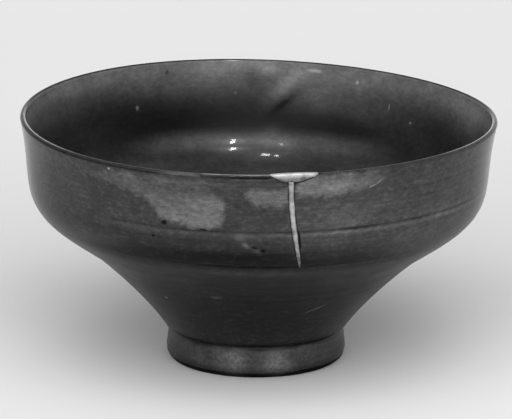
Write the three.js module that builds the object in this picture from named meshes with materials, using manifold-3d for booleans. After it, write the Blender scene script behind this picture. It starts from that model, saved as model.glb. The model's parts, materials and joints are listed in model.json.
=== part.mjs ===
// A wheel-thrown stoneware tea bowl on a turned foot ring, with a chipped and cracked rim
// mended in pale lacquer. Millimetres, +Z up. The origin is on the ground under the middle
// of the rim, and the mended side faces -Y. A lean is sideways growth per unit of height.

import * as THREE from "three";
import { mergeVertices } from "three/addons/utils/BufferGeometryUtils.js";
import Module from "manifold-3d";

const wasm = await Module();
wasm.setup();

// Whole bowl
const bowlHeight = 69; // ground to the top of the lip
const rimRadius = 66; // widest point of the lip
const lipThickness = 1.7;
const clearance = 0.3; // between a piece and the seat cut for it
const overrun = 5; // how far a cutter runs past what it cuts

// Outer wall, from the foot up
const seatHeight = 9; // flat where the foot ring meets the body
const seatRadius = 24.3;
const waistEase = 0.6; // rounded edge just above the seat
const waistRadius = 25.3;
const shelfHeight = 31.9; // top of the trimmed lower wall
const shelfRadius = 46.7;
const hipHeight = 49.4; // top of the rounded hip
const hipRadius = 63.6;

// Inner wall
const hipWall = 4.8; // wall thickness at the hip
const lowerWall = 5.3; // wall thickness at the shelf
const floorThickness = 5.8; // middle of the well to the recess under the foot

// Underside and foot ring
const spigotDrop = 1.8; // how far the base reaches down inside the ring
const spigotRadius = 17.6;
const recessRise = 0.5; // hollow turned into the base inside the ring
const standRadius = 22.6; // outer edge of the flat that the bowl stands on
const standBoreRadius = 18.6; // inner edge of the same flat
const bulgeRadius = 24.95; // widest point of the ring
const bulgeHeight = 3.4;
const ringTopRadius = 23.9;
const ringShoulder = 1.1; // height of the rounding at the top of the ring
const boreChamfer = 0.7; // broken inner edge at the ground

// Lines that the tool and fingers left while the wheel turned. Their places are shares of
// the height from the shelf to the hip, or from the hip to the lip.
const trimLineShare = 0.543;
const mainLineShare = 0.176;
const fineLineShares = [0.363, 0.501, 0.651];
const lineWidth = 1.2;
const deepLine = 0.24;
const fineLine = 0.12;

// Chip at the lip and the lacquer that fills it
const mendAzimuth = THREE.MathUtils.degToRad(8.2); // from the front, towards +X
const chipHalfWidth = 6.6;
const chipDepth = 2;
const fillCrown = 0.45; // how far the fill stands above the old lip
const fillProud = 0.12; // and past the two faces of the wall

// Crack that runs down from the chip, and the seams laid in a groove along it
const crackTopOffset = -0.72; // sideways from the middle of the chip
const crackEndOffset = 2.8;
const crackFall = 24.8; // height from the chip to its end on the outer face
const crackInnerFall = 20.2; // the same on the inner face
const seamHalfWidth = 0.68;
const seamDepth = 0.32; // sunk into the wall
const seamProud = 0.26; // standing out of it

// A hand-thrown bowl is never quite true: shares of a length per unit of length
const leanShare = 0.01; // the body leans on its foot towards +X
const rimTwistShare = 0.0085; // two low and two high quarters of the rim
const leanEase = 9; // height above the seat in which the lean sets in

// Direction and pull of the curves of the walls, as shares of height and of chord
const waistLeanShare = 0.66;
const shelfUnderLeanShare = 1.22;
const shelfOverLeanShare = 1.43;
const hipLeanShare = 0.18;
const lipLeanShare = 0.22;
const innerLipLeanShare = 0.34;
const innerHipLeanShare = 0.38;
const innerShelfLeanShare = 1.28;
const lowerPullShares = [0.28, 0.27];
const hipPullShares = [0.49, 0.33];
const upperPullShares = [0.25, 0.41];
const innerUpperPullShares = [0.3, 0.3];
const innerHipPullShares = [0.4, 0.35];
const wellPullShares = [0.38, 0.36];

// Outline of the chip below the lip: shares of its half width and depth
const chipOutlineShares = [
  [-1, 0],
  [-0.74, 0.36],
  [-0.54, 0.8],
  [-0.16, 1],
  [0.26, 0.96],
  [0.56, 0.64],
  [0.82, 0.32],
  [1, 0],
];
const crackBowShares = [0.05, 0.43]; // bend of the crack: sideways and down
const crackTaperShare = 0.65; // how much narrower the seam is at its end
const crackTaperPower = 4; // above 1, so that it narrows late

// Fineness
const turnSegments = 64;
const wallSteps = 8;
const lipSteps = 5;
const smallSteps = 4;
const crackSteps = 14;
const chipSteps = 20;
const halvings = 40;
const sameSpot = 0.03; // points of an outline that are closer than this are one

const lipRadius = lipThickness / 2;
const lipHeight = bowlHeight - lipRadius; // centre of the rounded lip
const spigotHeight = seatHeight - spigotDrop;
const floorHeight = spigotHeight + recessRise + floorThickness;
const crackTopHeight = bowlHeight - chipDepth - clearance;

/** A place on a wall: its radius, its height and how it leans there. */
function station(radius, height, lean) {
  return { point: new THREE.Vector2(radius, height), along: new THREE.Vector2(lean, 1).normalize() };
}

/** The place on the inner face behind a place on the outer face, square through the wall. */
function behind(outer, thickness, lean) {
  const radius = outer.point.x - outer.along.y * thickness;
  const height = outer.point.y + outer.along.x * thickness;
  return station(radius, height, lean);
}

/** A smooth curve from one station up to another, pulled along their leans. */
function bend(low, high, pullShares) {
  const chord = low.point.distanceTo(high.point);
  const afterLow = low.point.clone().addScaledVector(low.along, chord * pullShares[0]);
  const beforeHigh = high.point.clone().addScaledVector(high.along, -chord * pullShares[1]);
  return new THREE.CubicBezierCurve(low.point, afterLow, beforeHigh, high.point);
}

/** The three curves of the outer face, from the waist to the lip. */
function outerCurves() {
  const waist = station(waistRadius, seatHeight + waistEase, waistLeanShare);
  const shelfUnder = station(shelfRadius, shelfHeight, shelfUnderLeanShare);
  const shelfOver = station(shelfRadius, shelfHeight, shelfOverLeanShare);
  const hip = station(hipRadius, hipHeight, hipLeanShare);
  const lip = station(rimRadius, lipHeight, lipLeanShare);
  return {
    lower: bend(waist, shelfUnder, lowerPullShares),
    hip: bend(shelfOver, hip, hipPullShares),
    upper: bend(hip, lip, upperPullShares),
  };
}

/** The three curves of the inner face, from the middle of the well to the lip. */
function innerCurves() {
  const outerShelf = station(shelfRadius, shelfHeight, innerShelfLeanShare);
  const outerHip = station(hipRadius, hipHeight, hipLeanShare);
  const shelf = behind(outerShelf, lowerWall, innerShelfLeanShare);
  const hip = behind(outerHip, hipWall, innerHipLeanShare);
  const lip = station(rimRadius - lipThickness, lipHeight, innerLipLeanShare);
  const middle = { point: new THREE.Vector2(0, floorHeight), along: new THREE.Vector2(1, 0) };
  return {
    well: bend(middle, shelf, wellPullShares),
    hip: bend(shelf, hip, innerHipPullShares),
    upper: bend(hip, lip, innerUpperPullShares),
  };
}

/** The point of a rising curve at a height, found by halving. */
function pointAtHeight(curve, height) {
  let share = 0;
  for (let part = 1 / 2; part > 1 / 2 ** halvings; part /= 2) {
    if (curve.getPoint(share + part).y < height) {
      share += part;
    }
  }
  return curve.getPoint(share);
}

/** A turned line at a share of a rising curve's height. */
function lineOn(curve, share, depth) {
  return { height: THREE.MathUtils.lerp(curve.v0.y, curve.v3.y, share), depth };
}

/** Points of a rising wall curve with turned lines scored into it. */
function scoredPoints(curve, lines) {
  const apart = (point) => lines.every((line) => Math.abs(point.y - line.height) > lineWidth);
  const points = curve.getPoints(wallSteps);
  const ends = [points[0], points.at(-1)];
  const kept = points.filter((point) => ends.includes(point) || apart(point));
  for (const line of lines) {
    const bottom = pointAtHeight(curve, line.height);
    bottom.x -= line.depth;
    kept.push(pointAtHeight(curve, line.height - lineWidth / 2), bottom);
    kept.push(pointAtHeight(curve, line.height + lineWidth / 2));
  }
  return kept.sort((a, b) => a.y - b.y);
}

/** Joins runs of points end to end, leaving out a point that repeats the one before it. */
function chain(...runs) {
  const points = [];
  for (const point of runs.flat()) {
    if (points.length === 0 || points.at(-1).distanceTo(point) > sameSpot) {
      points.push(point);
    }
  }
  return points;
}

/** The outer face from the waist to the lip. */
function outerFace() {
  const { lower, hip, upper } = outerCurves();
  const hipLines = [lineOn(hip, trimLineShare, deepLine)];
  const fineLines = fineLineShares.map((share) => lineOn(upper, share, fineLine));
  const upperLines = [lineOn(upper, mainLineShare, deepLine), ...fineLines];
  return chain(lower.getPoints(wallSteps), scoredPoints(hip, hipLines), scoredPoints(upper, upperLines));
}

/** The inner face from the lip down to the middle of the well. */
function innerFace() {
  const curves = innerCurves();
  const rising = [curves.well, curves.hip, curves.upper].map((curve) => curve.getPoints(wallSteps));
  return chain(...rising).reverse();
}

/** The rounded top of the lip, from its outer to its inner side. */
function lipTop() {
  const middle = rimRadius - lipRadius;
  return new THREE.EllipseCurve(middle, lipHeight, lipRadius, lipRadius, 0, Math.PI).getPoints(lipSteps);
}

/** Moves a run of points square to itself, to the left of its direction where distance is above zero. */
function shifted(points, distance) {
  return points.map((point, i) => {
    const before = points[Math.max(i - 1, 0)];
    const after = points[Math.min(i + 1, points.length - 1)];
    const along = after.clone().sub(before).normalize();
    return new THREE.Vector2(point.x - along.y * distance, point.y + along.x * distance);
  });
}

/** Turns an outline of radius and height about the Z axis. */
function turned(points) {
  return new THREE.LatheGeometry(points, turnSegments).rotateX(Math.PI / 2);
}

/** The closed ring between a run of points moved out and the same run moved in. */
function band(points, inwards, outwards) {
  const outline = [...shifted(points, -outwards), ...shifted(points, inwards).reverse()];
  return turned([...outline, outline[0].clone()]);
}

/** Makes a solid of a closed geometry, its faces turned outwards. */
function solid(geometry) {
  geometry.deleteAttribute("normal");
  geometry.deleteAttribute("uv");
  const merged = mergeVertices(geometry);
  const all = merged.index.array;
  const kept = [];
  for (let i = 0; i < all.length; i += 3) {
    const [a, b, c] = all.slice(i, i + 3);
    if (a !== b && b !== c && c !== a) {
      kept.push(a, b, c);
    }
  }
  const vertProperties = new Float32Array(merged.attributes.position.array);
  const build = (order) => new wasm.Manifold(
    new wasm.Mesh({ numProp: 3, vertProperties, triVerts: new Uint32Array(order) }),
  );
  const made = build(kept);
  return made.volume() > 0 ? made : build(kept.reverse());
}

/** Moves one point of the true bowl to where the uneven hand-thrown one has it. */
function settle(point) {
  const rise = Math.max(point.z - seatHeight, 0);
  const wallHeight = bowlHeight - seatHeight;
  const lean = leanShare * (1 - Math.exp(-rise / leanEase));
  const twist = (rimTwistShare * 2 * point.x * point.y) / rimRadius;
  const height = point.z - lean * point.x - twist * (rise / wallHeight) ** 2;
  point.set(point.x + leanShare * (rise - wallHeight), point.y, height);
}

/** A named mesh of a solid, settled into its uneven shape. */
function piece(name, made, material) {
  const { vertProperties, triVerts } = made.getMesh();
  const geometry = new THREE.BufferGeometry();
  const position = new THREE.BufferAttribute(new Float32Array(vertProperties), 3);
  const point = new THREE.Vector3();
  for (let i = 0; i < position.count; i += 1) {
    settle(point.fromBufferAttribute(position, i));
    position.setXYZ(i, point.x, point.y, point.z);
  }
  geometry.setAttribute("position", position);
  geometry.setIndex(new THREE.BufferAttribute(new Uint32Array(triVerts), 1));
  geometry.computeVertexNormals();
  const mesh = new THREE.Mesh(geometry, material);
  mesh.name = name;
  return mesh;
}

/** Pushes a flat outline, drawn as seen from the front, through the mended side of the wall. */
function blade(outline) {
  const shape = new THREE.Shape(outline);
  const start = Math.min(rimRadius, hipRadius) / 2;
  const depth = Math.max(rimRadius, hipRadius) + overrun - start;
  const geometry = new THREE.ExtrudeGeometry(shape, { depth, bevelEnabled: false, steps: 1 });
  geometry.translate(0, 0, start).rotateX(Math.PI / 2).rotateZ(mendAzimuth);
  return solid(geometry);
}

/** Lower edge of the chip, from left to right, with room around it for a clearance. */
function chipEdge(room) {
  const halfWidth = chipHalfWidth + 2 * room;
  const depth = chipDepth + room;
  const knots = chipOutlineShares.map(
    ([across, down]) => new THREE.Vector2(across * halfWidth, bowlHeight - down * depth),
  );
  return new THREE.SplineCurve(knots).getPoints(chipSteps);
}

/** Cutter for the notch that the chip left in the lip. */
function chipNotch() {
  const edge = chipEdge(clearance);
  const [left, right] = [edge[0], edge.at(-1)];
  const top = bowlHeight + overrun;
  return blade([...edge, new THREE.Vector2(right.x, top), new THREE.Vector2(left.x, top)]);
}

/** Outline of the fill: the edge of the chip below, a low crown above. */
function fillOutline() {
  const crown = new THREE.EllipseCurve(0, bowlHeight, chipHalfWidth, fillCrown, 0, Math.PI);
  return [...chipEdge(0), ...crown.getPoints(chipSteps / 2).slice(1, -1)];
}

/** Outline of the crack as far as it falls, widened by room on either side. */
function crackOutline(fall, room) {
  const top = new THREE.Vector2(crackTopOffset, crackTopHeight);
  const end = new THREE.Vector2(crackEndOffset, top.y - fall);
  const bow = new THREE.Vector2(top.x + crackBowShares[0] * (end.x - top.x), top.y);
  bow.y -= crackBowShares[1] * fall;
  const path = new THREE.QuadraticBezierCurve(top, bow, end);
  const side = (sign) => Array.from({ length: crackSteps + 1 }, (_, i) => {
    const share = i / crackSteps;
    const half = seamHalfWidth * (1 - crackTaperShare * share ** crackTaperPower) + room;
    const along = path.getTangent(share);
    const point = path.getPoint(share);
    return new THREE.Vector2(point.x + sign * along.y * half, point.y - sign * along.x * half);
  });
  return { left: side(1), right: side(-1) };
}

/** Cutter for the groove along the crack, open into the notch above it. */
function crackGroove(fall, shell) {
  const { left, right } = crackOutline(fall, clearance);
  const above = new THREE.Vector2(0, chipDepth);
  const below = new THREE.Vector2(0, -clearance);
  const top = [right[0].clone().add(above), left[0].clone().add(above)];
  const end = [left.at(-1).clone().add(below), right.at(-1).clone().add(below)];
  return blade([...top, ...left, ...end, ...right.reverse()]).intersect(shell);
}

/** The lacquer seam in a groove: the crack's outline cut out of a shell that follows the wall. */
function crackSeam(fall, shell) {
  const { left, right } = crackOutline(fall, 0);
  return blade([...left, ...right.reverse()]).intersect(shell);
}

/** The thrown body before anything is cut out of it. */
function wholeBody() {
  const recess = new THREE.QuadraticBezierCurve(
    new THREE.Vector2(0, spigotHeight + recessRise),
    new THREE.Vector2(spigotRadius / 2, spigotHeight + recessRise),
    new THREE.Vector2(spigotRadius, spigotHeight),
  );
  const seat = [new THREE.Vector2(spigotRadius, seatHeight), new THREE.Vector2(seatRadius, seatHeight)];
  return solid(turned(chain(recess.getPoints(smallSteps), seat, outerFace(), lipTop(), innerFace())));
}

/** The foot ring, bored to pass over the base's spigot and flat where the body sits on it. */
function footRing() {
  const turnUnder = new THREE.QuadraticBezierCurve(
    new THREE.Vector2(standRadius, 0),
    new THREE.Vector2(bulgeRadius, 0),
    new THREE.Vector2(bulgeRadius, bulgeHeight),
  );
  const shoulderStart = new THREE.Vector2((bulgeRadius + ringTopRadius) / 2, seatHeight - ringShoulder);
  const shoulder = new THREE.QuadraticBezierCurve(
    shoulderStart,
    new THREE.Vector2(shoulderStart.x, seatHeight),
    new THREE.Vector2(ringTopRadius, seatHeight),
  );
  const boreRadius = spigotRadius + clearance;
  const bore = [
    new THREE.Vector2(boreRadius, seatHeight),
    new THREE.Vector2(boreRadius, seatHeight - spigotDrop - ringShoulder),
    new THREE.Vector2(standBoreRadius - boreChamfer / 2, boreChamfer),
  ];
  const stand = [new THREE.Vector2(standBoreRadius, 0)];
  const outside = chain(turnUnder.getPoints(wallSteps), shoulder.getPoints(smallSteps));
  return solid(turned([...stand, ...outside, ...bore, ...stand]));
}

/** The rim fill: a raised copy of the lip, kept only inside the outline of the chip. */
function chipFill() {
  const reach = bowlHeight - chipDepth - overrun;
  const outer = outerFace().filter((point) => point.y > reach);
  const inner = innerFace().filter((point) => point.y > reach);
  const lip = chain(outer, lipTop(), inner).map((point) => point.clone().setY(point.y + fillCrown));
  const outline = shifted(lip, -fillProud);
  const raised = solid(turned([...outline, outline[0].clone()]));
  return blade(fillOutline()).intersect(raised);
}

/** Cuts the notch and both grooves out of the body. */
function mendedBody(outerGroove, innerGroove) {
  return wholeBody().subtract(chipNotch()).subtract(outerGroove).subtract(innerGroove);
}

const glaze = new THREE.MeshStandardMaterial({ color: 0x494745, roughness: 0.34, metalness: 0 });
const footGlaze = new THREE.MeshStandardMaterial({ color: 0x54514e, roughness: 0.42, metalness: 0 });
const fillLacquer = new THREE.MeshStandardMaterial({ color: 0xcfcbc2, roughness: 0.4, metalness: 0.3 });
const seamLacquer = new THREE.MeshStandardMaterial({ color: 0xb2aea6, roughness: 0.45, metalness: 0.3 });

/** The bowl as thrown and turned: body on foot ring. */
function vessel() {
  const grooveDepth = seamDepth + clearance;
  const outerShell = solid(band(outerFace(), grooveDepth, overrun));
  const innerShell = solid(band(innerFace(), grooveDepth, overrun));
  const outerGroove = crackGroove(crackFall, outerShell);
  const innerGroove = crackGroove(crackInnerFall, innerShell);
  const group = new THREE.Group();
  group.add(piece("bowl_body", mendedBody(outerGroove, innerGroove), glaze));
  group.add(piece("foot_ring", footRing(), footGlaze));
  return group;
}

/** The lacquer mend: the rim fill and a seam on each face of the wall. */
function mend() {
  const outerShell = solid(band(outerFace(), seamDepth, seamProud));
  const innerShell = solid(band(innerFace(), seamDepth, seamProud));
  const group = new THREE.Group();
  group.add(piece("rim_chip_fill", chipFill(), fillLacquer));
  group.add(piece("crack_seam_outer", crackSeam(crackFall, outerShell), seamLacquer));
  group.add(piece("crack_seam_inner", crackSeam(crackInnerFall, innerShell), seamLacquer));
  return group;
}

const teaBowl = new THREE.Group();
teaBowl.add(vessel(), mend());

export default teaBowl;
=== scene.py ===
"""Looks of a mended tea bowl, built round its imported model.

The bowl is a wheel-thrown pot. Each piece is a profile turned about +Z, or a bead of lacquer laid along
the wall, worked out as whole arrays and then settled into the slightly uneven form of a hand-thrown pot.
Sizes in the classes are millimetres, and meshes are written in metres. An azimuth is measured from the
front, where -Y is, towards +X, in degrees unless a docstring says radians.
"""

import json
import logging
import math
from dataclasses import dataclass
from enum import Enum
from typing import Sequence

import bpy
import numpy as np
from mathutils import Euler, Matrix, Vector

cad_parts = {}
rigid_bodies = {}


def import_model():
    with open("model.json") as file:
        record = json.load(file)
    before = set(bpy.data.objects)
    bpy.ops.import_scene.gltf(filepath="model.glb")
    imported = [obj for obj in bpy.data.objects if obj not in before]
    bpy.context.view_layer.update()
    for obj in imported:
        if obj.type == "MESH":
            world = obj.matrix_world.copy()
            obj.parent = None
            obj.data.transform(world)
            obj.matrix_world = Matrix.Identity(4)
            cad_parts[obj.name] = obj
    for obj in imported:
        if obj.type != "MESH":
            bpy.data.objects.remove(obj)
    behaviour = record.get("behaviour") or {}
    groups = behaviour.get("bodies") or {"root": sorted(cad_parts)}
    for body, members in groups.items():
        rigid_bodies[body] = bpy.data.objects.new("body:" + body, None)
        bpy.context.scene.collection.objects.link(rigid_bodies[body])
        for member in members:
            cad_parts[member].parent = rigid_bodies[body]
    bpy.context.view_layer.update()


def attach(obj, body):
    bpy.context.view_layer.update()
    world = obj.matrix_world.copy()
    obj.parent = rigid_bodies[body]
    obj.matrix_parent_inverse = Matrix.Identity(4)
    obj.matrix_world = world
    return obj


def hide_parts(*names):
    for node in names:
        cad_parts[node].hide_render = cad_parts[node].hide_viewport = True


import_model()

LOG = logging.getLogger("tea_bowl")
MM = 0.001  # metres in a millimetre
TURN = 2 * math.pi
UNIT = (0.0, 1.0)
MIDDLE = (0.3, 0.7)  # what a cloudy pattern mostly stays within
MOST = (0.25, 0.75)  # the same, with less of it held at the ends
SHARP = math.radians(50)  # an edge that turns more than this is shaded as sharp
GLASS = 1.5  # refractive index of glaze

Array = np.ndarray
Pair = tuple[float, float]
Trio = tuple[float, float, float]
Stretch = Sequence[Pair]  # where something fades in, and where it fades out
Socket = bpy.types.NodeSocket
Thing = bpy.types.Object
Material = bpy.types.Material


# Shapes


@dataclass(frozen=True)
class Station:
    """A place on a wall: its radius, its height and how it leans there, sideways per unit of height."""

    radius: float
    height: float
    lean: float

    def point(self) -> Array:
        """The radius and height as one point."""
        return np.array([self.radius, self.height])

    def along(self) -> Array:
        """The unit direction in which the wall rises here."""
        angle = math.atan2(1.0, self.lean)
        return np.array([math.cos(angle), math.sin(angle)])

    def behind(self, thickness: float, lean: float) -> "Station":
        """The place square through a wall of this thickness, on an inner face that leans by lean."""
        way = self.along()
        return Station(self.radius - way[1] * thickness, self.height + way[0] * thickness, lean)


def bend(low: Station, high: Station, pulls: Pair, count: int = 400) -> Array:
    """A smooth wall curve from one station up to another.

    It is a cubic Bezier curve. Its ends are the stations, and each handle lies along its station's lean,
    as far away as the chord times its pull.

    Args:
        low: Where the curve starts.
        high: Where it ends.
        pulls: Pull at the start and at the end.
        count: How many points to return.

    Returns:
        Points of radius and height, one row each.
    """
    start, end = low.point(), high.point()
    chord = float(np.linalg.norm(end - start))
    handles = [start, start + chord * pulls[0] * low.along(), end - chord * pulls[1] * high.along(), end]
    t = np.linspace(0, 1, count)[:, None]
    return np.hstack([(1 - t) ** 3, 3 * t * (1 - t) ** 2, 3 * t**2 * (1 - t), t**3]) @ np.array(handles)


def bends(spans: Sequence[tuple[Station, Station]], pulls: Sequence[Pair]) -> Array:
    """Wall curves that follow each other between pairs of stations, as one run of points."""
    runs = [bend(low, high, pull) for (low, high), pull in zip(spans, pulls)]
    return np.vstack([runs[0][:1], *(run[1:] for run in runs)])


def bow(start: Sequence[float], corner: Sequence[float], end: Sequence[float], count: int) -> Array:
    """A curve that turns once, towards a corner: a quadratic Bezier curve of these three points."""
    t = np.linspace(0, 1, count)[:, None]
    return (1 - t) ** 2 * np.array(start) + 2 * t * (1 - t) * np.array(corner) + t**2 * np.array(end)


def smooth_run(knots: Array, count: int) -> Array:
    """A smooth curve through points: each span is a cubic whose end slopes follow the two neighbours.

    Args:
        knots: The points.
        count: How many points to return.

    Returns:
        Points of the curve.
    """
    padded = np.vstack([knots[:1], knots, knots[-1:]])
    place = np.linspace(0, len(knots) - 1, count)
    span = np.minimum(place.astype(int), len(knots) - 2)
    t = (place - span)[:, None]
    p0, p1, p2, p3 = (padded[span + k] for k in range(4))
    v0, v1 = (p2 - p0) / 2, (p3 - p1) / 2
    return (2 * p1 - 2 * p2 + v0 + v1) * t**3 + (-3 * p1 + 3 * p2 - 2 * v0 - v1) * t**2 + v0 * t + p1


def lengths(points: Array) -> Array:
    """Distance walked along a run of points up to each of them."""
    return np.concatenate([[0.0], np.cumsum(np.hypot(*np.diff(points, axis=0).T))])


def rows_at(places: Array, known: Array, rows: Array) -> Array:
    """Rows of two numbers that are given at known places, worked out evenly between them at others."""
    return np.stack([np.interp(places, known, rows[:, k]) for k in range(2)], axis=-1)


def walk(points: Array, places: Array) -> Array:
    """The points that lie at given distances along a run of points, by straight steps between them."""
    return rows_at(places, lengths(points), points)


def squares(points: Array) -> Array:
    """Unit directions square to a run of points, to the right of the way it goes.

    Args:
        points: Points of radius and height.

    Returns:
        One direction for each point.
    """
    way = np.gradient(points, axis=0)
    way /= np.hypot(way[:, 0], way[:, 1])[:, None]
    return np.column_stack([way[:, 1], -way[:, 0]])


def soft_step(low: float, high: float, values: Array) -> Array:
    """0 below low, 1 above high and a smooth S between them: 3 t squared less 2 t cubed."""
    t = np.clip((values - low) / (high - low), 0, 1)
    return t * t * (3 - 2 * t)


def stretch(start: Pair, end: Pair, values: Array) -> Array:
    """1 on a stretch and 0 outside it: a soft step up over the start, times one down over the end."""
    return soft_step(*start, values) * soft_step(*end, values)


def ridge(middle: float, width: float | Array, values: Array) -> Array:
    """A bell of height 1 round the middle: e to the power of minus the square of the distance in widths."""
    return np.exp(-(((values - middle) / width) ** 2))


def each(kind: type, *rows: Sequence[object]) -> tuple:
    """One object of a kind for each row of its values."""
    return tuple(kind(*row) for row in rows)


@dataclass(frozen=True)
class Bell:
    """A line or a soft patch: where its middle is, how wide it is and how strong."""

    middle: float
    width: float
    strength: float = 1.0

    def at(self, values: Array) -> Array:
        """Its strength, times a bell of height 1 round its middle."""
        return self.strength * ridge(self.middle, self.width, values)


def lifted(least: float, share: Array) -> Array:
    """A share from 0 to 1, carried to between least and 1."""
    return least + (1 - least) * share


def uneven(least: float, *angles: Array) -> Array:
    """Numbers that go up and down between least and 1, as the product of the sines of the angles does."""
    return lifted(least, (1 + math.prod(np.sin(angle) for angle in angles)) / 2)


def signed(azimuth: Array) -> Array:
    """Azimuths in degrees, brought to between minus and plus half a turn."""
    return (azimuth + 180) % 360 - 180


def turned(radius: Array, height: Array, azimuth: Array) -> Array:
    """Points at radii and heights, carried about +Z to azimuths in radians, shaped (..., 3)."""
    x, y = radius * np.sin(azimuth), -radius * np.cos(azimuth)
    return np.stack(np.broadcast_arrays(x, y, height), axis=-1)


def depth_inside(points: Array, corners: Array) -> Array:
    """How deep points lie inside a polygon, in its own unit, below 0 outside it.

    The distance to an edge is the length from the point to the nearest place on it. A point is inside
    where a line to its right crosses an odd number of edges.

    Args:
        points: Points, shaped (..., 2).
        corners: The polygon's corners in order.

    Returns:
        The signed depth of each point.
    """
    start, edge = corners, np.roll(corners, -1, axis=0) - corners
    off = points[..., None, :] - start
    share = np.clip((off * edge).sum(-1) / (edge * edge).sum(-1), 0, 1)
    gap = np.linalg.norm(off - share[..., None] * edge, axis=-1).min(-1)
    x, y = points[..., None, 0], points[..., None, 1]
    spans = (start[:, 1] > y) != (start[:, 1] + edge[:, 1] > y)
    rise = np.where(edge[:, 1] == 0, 1, edge[:, 1])
    crosses = spans & (x < start[:, 0] + (y - start[:, 1]) / rise * edge[:, 0])
    return np.where(crosses.sum(-1) % 2 == 1, gap, -gap)


def bands(lower: Array, upper: Array) -> Array:
    """Faces of four between rows of point numbers and the next rows, whose columns close into loops."""
    return np.stack([lower, np.roll(lower, -1, 1), np.roll(upper, -1, 1), upper], axis=-1).reshape(-1, 4)


def fan(middle: int, row: Array) -> Array:
    """Faces of three between one point and a row of points that closes into a loop."""
    return np.column_stack([np.full(len(row), middle), np.roll(row, -1), row])


def shown(name: str, data: bpy.types.ID) -> Thing:
    """Makes an object of its data and puts it into the scene.

    Args:
        name: The object's name.
        data: Its mesh, light or camera.

    Returns:
        The object.
    """
    made = bpy.data.objects.new(name, data)
    bpy.context.scene.collection.objects.link(made)
    return made


def meshed(name: str, points: Array, faces: list[list[int]]) -> Thing:
    """Makes a smooth object of points in metres and of faces, which are lists of the points' numbers.

    Args:
        name: The object's name.
        points: Its points.
        faces: The numbers of each face's points.

    Returns:
        The object.
    """
    mesh = bpy.data.meshes.new(name)
    mesh.from_pydata(points.tolist(), [], faces)
    mesh.update()
    mesh.shade_smooth()
    return shown(name, mesh)


def skin(name: str, grid: Array, ends: Array | None) -> Thing:
    """Makes an object of a grid of points whose columns close into loops.

    Args:
        name: The object's name.
        grid: Points in millimetres, shaped (rows, columns, 3).
        ends: The two points that close the first and the last row, or None where the rows close too.

    Returns:
        The object, its faces turned outwards.
    """
    number = np.arange(grid[..., 0].size).reshape(grid.shape[:2])
    points, caps = grid.reshape(-1, 3), np.zeros((0, 3), int)
    if ends is None:
        quads = bands(number, np.roll(number, -1, axis=0))
    else:
        quads = bands(number[:-1], number[1:])
        caps = np.vstack([fan(number.size, number[0]), fan(number.size + 1, number[-1])[:, [0, 2, 1]]])
        points = np.vstack([points, ends])
    halves = np.vstack([quads[:, :3], quads[:, [0, 2, 3]], caps])
    a, b, c = (points[halves[:, k]] for k in range(3))
    if (a * np.cross(b, c)).sum() < 0:
        quads, caps = quads[:, ::-1], caps[:, ::-1]
    return meshed(name, points * MM, quads.tolist() + caps.tolist())


@dataclass(frozen=True)
class Settling:
    """How the hand-thrown bowl strays from true: a lean, and two low and two high quarters of the rim."""

    seat: float = 9.0
    top: float = 69.0
    rim: float = 66.0
    lean: float = 0.01
    lean_ease: float = 9.0
    twist: float = 0.0085

    def apply(self, points: Array) -> Array:
        """Moves points of the true bowl to where the uneven one has them.

        A point sinks by the lean times its x and by the twist times x times y, which grows with the
        square of its height, and it moves sideways by the lean times its height.

        Args:
            points: Points of the true bowl, shaped (..., 3).

        Returns:
            The settled points.
        """
        x, y, z = np.moveaxis(points, -1, 0)
        rise = np.maximum(z - self.seat, 0)
        wall = self.top - self.seat
        lean = self.lean * (1 - np.exp(-rise / self.lean_ease))
        twist = self.twist * 2 * x * y / self.rim
        sunk = lean * x + twist * (rise / wall) ** 2
        return np.stack([x + self.lean * (rise - wall), y, z - sunk], axis=-1)


# Finishes


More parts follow.
